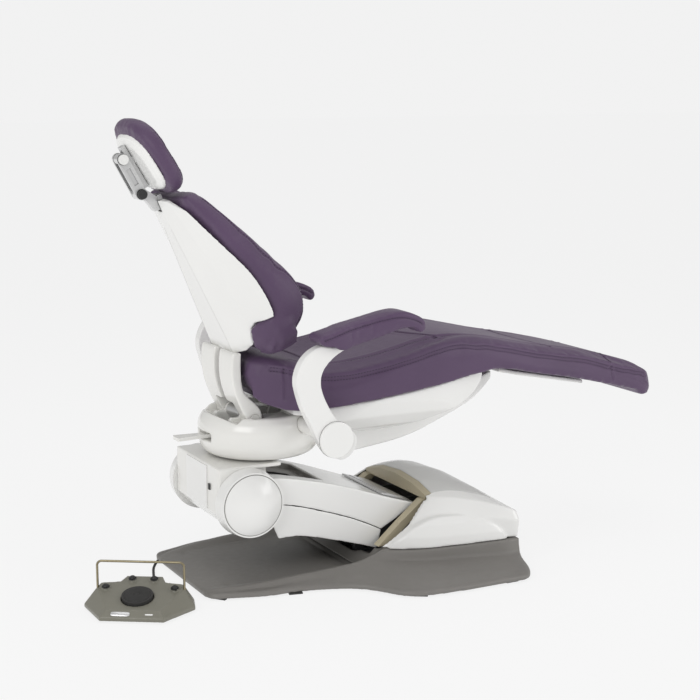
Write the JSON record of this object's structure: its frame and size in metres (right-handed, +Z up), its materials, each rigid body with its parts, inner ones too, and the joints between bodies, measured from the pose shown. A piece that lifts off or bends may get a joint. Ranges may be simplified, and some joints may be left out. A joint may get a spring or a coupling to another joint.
{
  "type": "dental chair",
  "caption": "Reclining treatment chair: lifting arm and swivelling seat on a floor base, tilting back, double-hinged headrest, swing-back armrests and a separate foot control.",
  "frame": {"origin": "centre of the four floor anchor holes, on the floor plane", "axes": "+X towards the feet, +Y to the sitter's left, +Z up"},
  "size_m": [1.7556, 0.8942, 1.2215],
  "materials": {
    "leather": "satin stitched",
    "white_shell": "gloss white",
    "white_paint": "gloss white enamel",
    "base_grey": "satin taupe grey",
    "trim_beige": "satin beige",
    "dark_liner": "matt dark grey",
    "black": "matt black",
    "rubber": "matt black",
    "steel": "brushed",
    "aluminium": "polished",
    "chrome": "polished",
    "plate_paint": "dark primer",
    "pedal_grey": "satin olive grey",
    "guard_bronze": "dull bronze grey"
  },
  "bodies": {
    "base": {"base_plate": "plate_paint", "base_cover": "base_grey", "rubber_feet": "rubber", "pump_cover": "white_shell", "pump_cover_trim": "trim_beige", "pump_unit": "plate_paint", "control_box": "dark_liner", "lower_shaft": "steel", "pivot_pedestal": "plate_paint", "foot_control_case": "pedal_grey", "foot_control_guard": "guard_bronze", "foot_control_cord": "rubber"},
    "lift_arm": {"lift_arm": "plate_paint", "arm_cover_upper": "white_shell", "arm_cover_lower": "white_shell", "arm_recess_liner": "dark_liner", "arm_end_plate": "aluminium", "pivot_collars": "white_shell", "pivot_caps": "white_shell", "upper_shaft": "steel"},
    "parallel_link": {"parallel_link": "plate_paint"},
    "lift_cylinder": {"lift_cylinder": "plate_paint"},
    "lift_rod": {"lift_rod": "chrome"},
    "upper_housing": {"upper_housing": "white_paint", "housing_panel": "white_shell", "housing_clip": "black", "swivel_bearing": "black", "swivel_post": "steel"},
    "seat": {"turret_housing": "white_paint", "back_shaft": "steel", "armrest_beam": "steel", "seat_keel": "white_shell", "seat_pan": "white_shell", "seat_cushion": "leather", "legrest_panel": "white_shell"},
    "swivel_brake": {"swivel_brake": "white_paint"},
    "backrest": {"backrest_shell": "white_shell", "backrest_cushion": "leather", "back_arms": "white_paint", "back_crank": "steel"},
    "back_cylinder": {"back_cylinder": "plate_paint"},
    "back_rod": {"back_rod": "chrome"},
    "headrest_bar": {"headrest_bar": "aluminium"},
    "headrest_link": {"headrest_link": "aluminium", "headrest_knob": "black", "headrest_link_caps": "white_shell"},
    "headrest": {"headrest_cushion": "leather", "headrest_shell": "white_shell", "headrest_lug": "aluminium"},
    "armrest_right": {"armrest_pad_right": "leather", "armrest_support_right": "white_shell", "armrest_cap_right": "white_shell"},
    "armrest_left": {"armrest_pad_left": "leather", "armrest_support_left": "white_shell", "armrest_cap_left": "white_shell"},
    "foot_disc": {"foot_disc": "rubber"},
    "foot_button_1": {"foot_button_1": "black"},
    "foot_button_2": {"foot_button_2": "black"},
    "foot_button_3": {"foot_button_3": "black"},
    "foot_button_4": {"foot_button_4": "black"}
  },
  "joints": [
    {"name": "lift", "type": "hinge", "parent": "base", "child": "lift_arm", "pos_m": [0.23, 0, 0.085], "axis": [0, 1, 0], "range_deg": [-10, 32]},
    {"name": "link_swing", "type": "hinge", "parent": "base", "child": "parallel_link", "pos_m": [0.23, 0, 0.135], "axis": [0, 1, 0], "range_deg": [-10, 32]},
    {"name": "lift_cylinder_swing", "type": "hinge", "parent": "base", "child": "lift_cylinder", "pos_m": [0.15, 0, 0.036], "axis": [0, 1, 0], "range_deg": [-11, 35]},
    {"name": "lift_rod_slide", "type": "slide", "parent": "lift_cylinder", "child": "lift_rod", "axis": [-0.843, 0, 0.5379], "range_m": [-0.016, 0.0505]},
    {"name": "housing_level", "type": "hinge", "parent": "lift_arm", "child": "upper_housing", "pos_m": [-0.239, 0, 0.233], "axis": [0, 1, 0], "range_deg": [-32, 10]},
    {"name": "swivel", "type": "hinge", "parent": "upper_housing", "child": "seat", "pos_m": [-0.165, 0, 0.33], "axis": [0, 0, 1], "range_deg": [-30, 30]},
    {"name": "brake_turn", "type": "hinge", "parent": "seat", "child": "swivel_brake", "pos_m": [-0.233, 0, 0.387], "axis": [0, 0, 1], "range_deg": [-9, 9]},
    {"name": "recline", "type": "hinge", "parent": "seat", "child": "backrest", "pos_m": [-0.195, 0, 0.44], "axis": [0, 1, 0], "range_deg": [-45, 0]},
    {"name": "back_cylinder_swing", "type": "hinge", "parent": "seat", "child": "back_cylinder", "pos_m": [0.13, 0, 0.372], "axis": [0, 1, 0], "range_deg": [-0.5, 5]},
    {"name": "back_rod_slide", "type": "slide", "parent": "back_cylinder", "child": "back_rod", "axis": [-0.9997, 0, 0.0246], "range_m": [-0.0432, 0.001]},
    {"name": "headrest_height", "type": "slide", "parent": "backrest", "child": "headrest_bar", "axis": [-0.4115, 0, 0.9114], "range_m": [0, 0.1]},
    {"name": "headrest_lower_tilt", "type": "hinge", "parent": "headrest_bar", "child": "headrest_link", "pos_m": [-0.461, 0, 1.031], "axis": [0, 1, 0], "range_deg": [-25, 0]},
    {"name": "headrest_upper_tilt", "type": "hinge", "parent": "headrest_link", "child": "headrest", "pos_m": [-0.509, 0, 1.119], "axis": [0, 1, 0], "range_deg": [-25, 0]},
    {"name": "armrest_right_swing", "type": "hinge", "parent": "seat", "child": "armrest_right", "pos_m": [-0.075, -0.32, 0.421], "axis": [0, 1, 0], "range_deg": [-70, 0]},
    {"name": "armrest_left_swing", "type": "hinge", "parent": "seat", "child": "armrest_left", "pos_m": [-0.075, 0.32, 0.421], "axis": [0, 1, 0], "range_deg": [-70, 0]},
    {"name": "foot_disc_press", "type": "slide", "parent": "base", "child": "foot_disc", "axis": [0.1237, 0.1979, -0.9724], "range_m": [0, 0.006]},
    {"name": "foot_button_1_press", "type": "slide", "parent": "base", "child": "foot_button_1", "axis": [0.1237, 0.1979, -0.9724], "range_m": [0, 0.004]},
    {"name": "foot_button_2_press", "type": "slide", "parent": "base", "child": "foot_button_2", "axis": [0.1237, 0.1979, -0.9724], "range_m": [0, 0.004]},
    {"name": "foot_button_3_press", "type": "slide", "parent": "base", "child": "foot_button_3", "axis": [0.1237, 0.1979, -0.9724], "range_m": [0, 0.004]},
    {"name": "foot_button_4_press", "type": "slide", "parent": "base", "child": "foot_button_4", "axis": [0.1237, 0.1979, -0.9724], "range_m": [0, 0.004]}
  ],
  "couplings": [
    {"joint": "link_swing", "follows": "lift", "ratio": 1},
    {"joint": "housing_level", "follows": "lift", "ratio": -1},
    {"joint": "lift_cylinder_swing", "follows": "lift", "ratio": 1.08},
    {"joint": "lift_rod_slide", "follows": "lift", "m_per_rad": 0.089},
    {"joint": "back_cylinder_swing", "follows": "recline", "ratio": -0.075},
    {"joint": "back_rod_slide", "follows": "recline", "m_per_rad": 0.0545}
  ]
}
